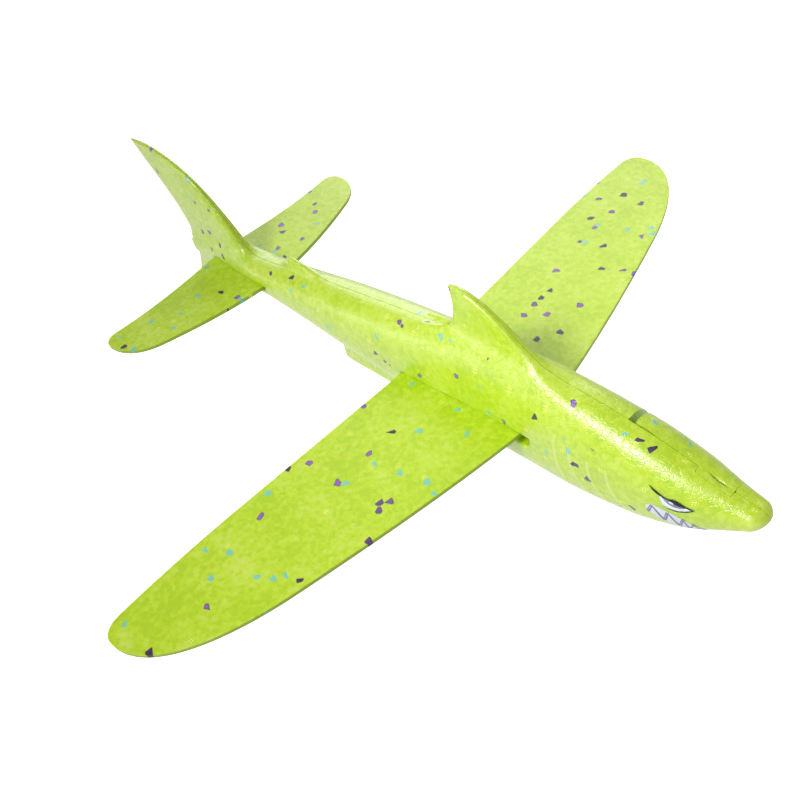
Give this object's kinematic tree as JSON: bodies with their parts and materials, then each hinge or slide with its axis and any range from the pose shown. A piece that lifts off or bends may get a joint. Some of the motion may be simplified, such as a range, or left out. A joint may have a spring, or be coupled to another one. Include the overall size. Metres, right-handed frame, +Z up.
{
  "type": "toy airplane",
  "caption": "Moulded foam glider for throwing by hand: shark-shaped body with swept fins, a wing and tailplane that slide into slots, and a hatch over a light unit in the nose.",
  "frame": {"origin": "centre of the bounding box in plan, on the plane of the keel's flat bottom", "axes": "+X from tail to nose, +Y to the left wing tip, +Z up; y = 0 is the plane of symmetry and the seam"},
  "size_m": [0.488, 0.477, 0.127],
  "materials": {
    "green_foam": "expanded polypropylene beads, satin",
    "eye_film": "printed film, black, white and blue grey",
    "teeth_film": "printed film, pale lavender with a grey zigzag",
    "black_plastic": "fine texture",
    "steel": "plated",
    "cell_can": "plated steel can",
    "board": "solder mask",
    "clear_lamp": "clear epoxy"
  },
  "bodies": {
    "fuselage": {"fuselage_left": "green_foam", "fuselage_right": "green_foam", "eye_decal_right": "eye_film", "teeth_decal_right": "teeth_film", "light_case": "black_plastic", "light_lid": "black_plastic", "lid_screw": "steel", "negative_spring": "steel", "positive_contact": "steel", "circuit_board": "board", "switch_housing": "steel", "led_lamp": "clear_lamp", "led_lead_anode": "steel", "led_lead_cathode": "steel", "battery_cell_1": "cell_can", "battery_cell_2": "cell_can", "battery_cell_3": "cell_can"},
    "wing": {"main_wing": "green_foam"},
    "tailplane": {"tailplane": "green_foam"},
    "hatch": {"nose_hatch": "green_foam", "eye_decal_left": "eye_film", "teeth_decal_left": "teeth_film"},
    "switch_knob": {"switch_knob": "black_plastic"}
  },
  "joints": [
    {"name": "wing_slide", "type": "slide", "parent": "fuselage", "child": "wing", "axis": [0.0534, 0.9986, 0], "range_m": [0, 0.265]},
    {"name": "tailplane_slide", "type": "slide", "parent": "fuselage", "child": "tailplane", "axis": [0, 1, 0], "range_m": [0, 0.13]},
    {"name": "hatch_slide", "type": "slide", "parent": "fuselage", "child": "hatch", "axis": [0, 1, 0], "range_m": [0, 0.045]},
    {"name": "switch_slide", "type": "slide", "parent": "fuselage", "child": "switch_knob", "axis": [1, 0, 0], "range_m": [0, 0.002]}
  ]
}
